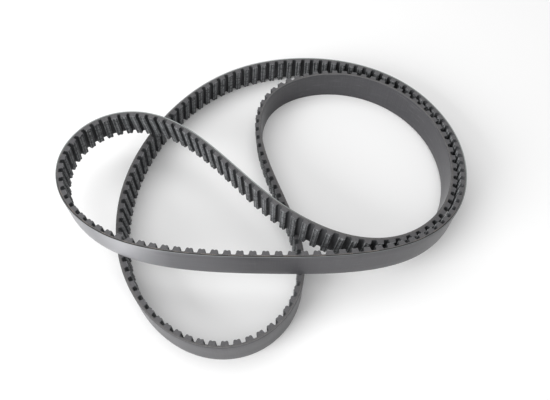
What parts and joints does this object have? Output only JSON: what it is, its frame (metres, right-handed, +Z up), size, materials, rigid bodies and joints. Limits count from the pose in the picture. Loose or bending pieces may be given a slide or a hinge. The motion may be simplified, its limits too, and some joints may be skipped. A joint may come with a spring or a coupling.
{
  "type": "timing belt",
  "caption": "Endless toothed timing belt with a smooth rubber back and a fabric-faced toothed side, standing on its edge in a loose coil with crossed loops.",
  "frame": {"origin": "centre of the coil's footprint, on the surface the belt stands on", "axes": "+X to the right along the coil's long side, +Y to the back, +Z up across the belt's width"},
  "size_m": [0.2958, 0.2574, 0.0504],
  "materials": {
    "back_rubber": "satin",
    "glass_cord_s": "matte",
    "glass_cord_z": "matte",
    "tooth_rubber": "matte",
    "nylon_facing": "matte"
  },
  "bodies": {
    "runs": {"backing_outer_run": "back_rubber", "cords_s_outer_run": "glass_cord_s", "cords_z_outer_run": "glass_cord_z", "teeth_outer_run": "tooth_rubber", "facing_outer_run": "nylon_facing", "backing_inner_run": "back_rubber", "cords_s_inner_run": "glass_cord_s", "cords_z_inner_run": "glass_cord_z", "teeth_inner_run": "tooth_rubber", "facing_inner_run": "nylon_facing"},
    "left_lobe": {"backing_left_lobe": "back_rubber", "cords_s_left_lobe": "glass_cord_s", "cords_z_left_lobe": "glass_cord_z", "teeth_left_lobe": "tooth_rubber", "facing_left_lobe": "nylon_facing"},
    "front_lobe": {"backing_front_lobe": "back_rubber", "cords_s_front_lobe": "glass_cord_s", "cords_z_front_lobe": "glass_cord_z", "teeth_front_lobe": "tooth_rubber", "facing_front_lobe": "nylon_facing"}
  },
  "joints": [
    {"name": "left_lobe_press", "type": "hinge", "parent": "runs", "child": "left_lobe", "pos_m": [-0.10456, -0.00773, 0.0251], "axis": [-0.0235, -0.9996, -0.0142], "range_deg": [0, 12], "stiffness_Nm_per_rad": 0.12, "springref_deg": -8.59},
    {"name": "front_lobe_lift", "type": "hinge", "parent": "runs", "child": "front_lobe", "pos_m": [-0.03743, -0.07687, 0.02401], "axis": [-0.9899, 0.1417, -0.0001], "range_deg": [0, 12]}
  ]
}
